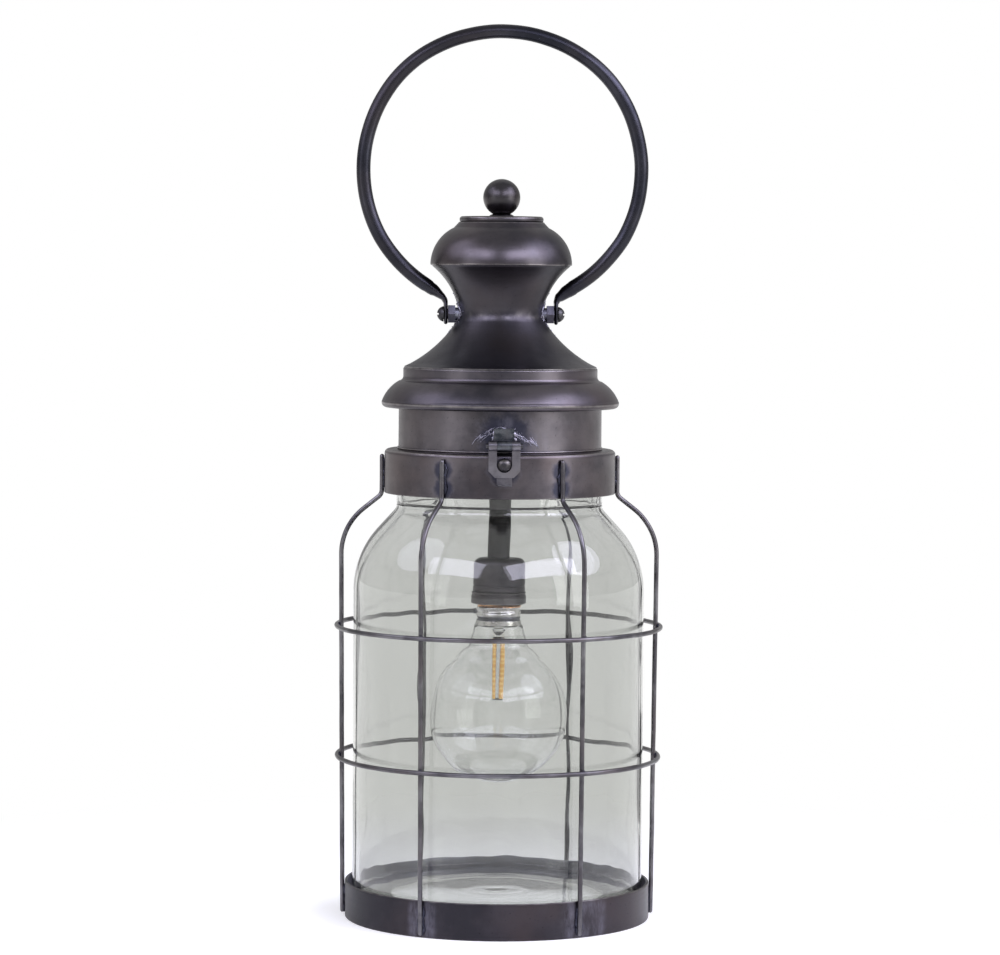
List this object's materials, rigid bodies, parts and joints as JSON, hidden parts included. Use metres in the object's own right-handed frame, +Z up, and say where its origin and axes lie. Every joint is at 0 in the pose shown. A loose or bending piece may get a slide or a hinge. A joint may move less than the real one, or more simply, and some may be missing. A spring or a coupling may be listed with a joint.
{
  "type": "lantern table lamp",
  "caption": "Lantern-style table lamp: clear glass jar in a wire cage, lift-off spun metal hood with ring bail and side hasps, hanging screw-base globe bulb.",
  "frame": {"origin": "centre of the base band's lower edge, on the table", "axes": "+Z up through the jar's axis, -Y the front with the hasp, X along the bail's pivots"},
  "size_m": [0.1902, 0.1902, 0.516],
  "materials": {
    "patina_hood": "dark patina, satin, spun marks",
    "patina_bronze": "bronze-brown patina, satin",
    "patina_base": "dark patina, satin",
    "bail_steel": "blued, satin",
    "cage_wire": "drawn wire, lightly blued",
    "hasp_steel": "heat-blued",
    "zinc": "zinc plated",
    "jar_glass": "clear, faintly green",
    "bulb_glass": "clear",
    "rubber": "matt",
    "holder_metal": "dark patina, satin",
    "porcelain": "glazed",
    "brass": "plain",
    "cap_nickel": "nickel plated",
    "cap_glass": "black vitrite",
    "filament": "amber phosphor",
    "lead_brown": "insulated",
    "lead_blue": "insulated"
  },
  "bodies": {
    "cage": {"base_band": "patina_base", "bottom_ring": "patina_base", "base_lugs": "patina_base", "bottom_screws": "zinc", "upright_wire_1": "cage_wire", "upright_wire_2": "cage_wire", "upright_wire_3": "cage_wire", "upright_wire_4": "cage_wire", "upright_wire_5": "cage_wire", "upright_wire_6": "cage_wire", "hoop_lower": "cage_wire", "hoop_upper": "cage_wire", "neck_band": "patina_bronze", "rim_seal": "rubber", "jar_base": "jar_glass", "jar_wall": "jar_glass", "jar_shoulder": "jar_glass", "jar_neck": "jar_glass", "catch_stud_front": "hasp_steel", "catch_stud_rear": "hasp_steel"},
    "hood": {"collar": "patina_bronze", "eave": "patina_bronze", "waist": "patina_hood", "crown": "patina_hood", "top_disc": "patina_hood", "finial_ball": "bail_steel", "finial_stud": "zinc", "finial_nut": "zinc", "pivot_nut_left": "hasp_steel", "pivot_nut_right": "hasp_steel", "pivot_screw_left": "hasp_steel", "pivot_screw_right": "hasp_steel", "hasp_bracket_front": "hasp_steel", "hasp_bracket_rear": "hasp_steel", "hasp_pin_front": "hasp_steel", "hasp_pin_rear": "hasp_steel", "bridge_bar": "zinc", "stem_nipple": "zinc", "stem_tube": "holder_metal", "nipple_nuts": "zinc", "lock_washer": "zinc", "terminal_block": "porcelain", "lead_live": "lead_brown", "lead_neutral": "lead_blue", "cord_grommet": "rubber", "holder_shell": "holder_metal", "holder_ring": "holder_metal", "holder_insert": "porcelain", "holder_thread": "brass", "holder_contact": "brass"},
    "bail": {"bail": "bail_steel"},
    "hasp_front": {"hasp_front": "hasp_steel"},
    "hasp_rear": {"hasp_rear": "hasp_steel"},
    "bulb_contact": {"bulb_tip": "cap_nickel"},
    "bulb": {"bulb_globe": "bulb_glass", "bulb_cap": "cap_nickel", "bulb_insulator": "cap_glass", "bulb_stem": "bulb_glass", "bulb_filaments": "filament", "filament_frame": "cap_nickel"}
  },
  "joints": [
    {"name": "hood_lift", "type": "slide", "parent": "cage", "child": "hood", "axis": [0, 0, 1], "range_m": [0, 0.2]},
    {"name": "bail_swing", "type": "hinge", "parent": "hood", "child": "bail", "pos_m": [0, 0, 0.3495], "axis": [1, 0, 0], "range_deg": [-138, 138]},
    {"name": "hasp_front_swing", "type": "hinge", "parent": "hood", "child": "hasp_front", "pos_m": [0, -0.0686, 0.2765], "axis": [-1, 0, 0], "range_deg": [0, 150]},
    {"name": "hasp_rear_swing", "type": "hinge", "parent": "hood", "child": "hasp_rear", "pos_m": [0, 0.0686, 0.2765], "axis": [1, 0, 0], "range_deg": [0, 150]},
    {"name": "bulb_travel", "type": "slide", "parent": "hood", "child": "bulb_contact", "axis": [0, 0, 1], "range_m": [-0.0109, 0]},
    {"name": "bulb_turn", "type": "hinge", "parent": "bulb_contact", "child": "bulb", "pos_m": [0, 0, 0.17], "axis": [0, 0, 1], "range_deg": [-1080, 0]}
  ],
  "couplings": [
    {"joint": "bulb_travel", "follows": "bulb_turn", "m_per_rad": 0.00057757}
  ]
}
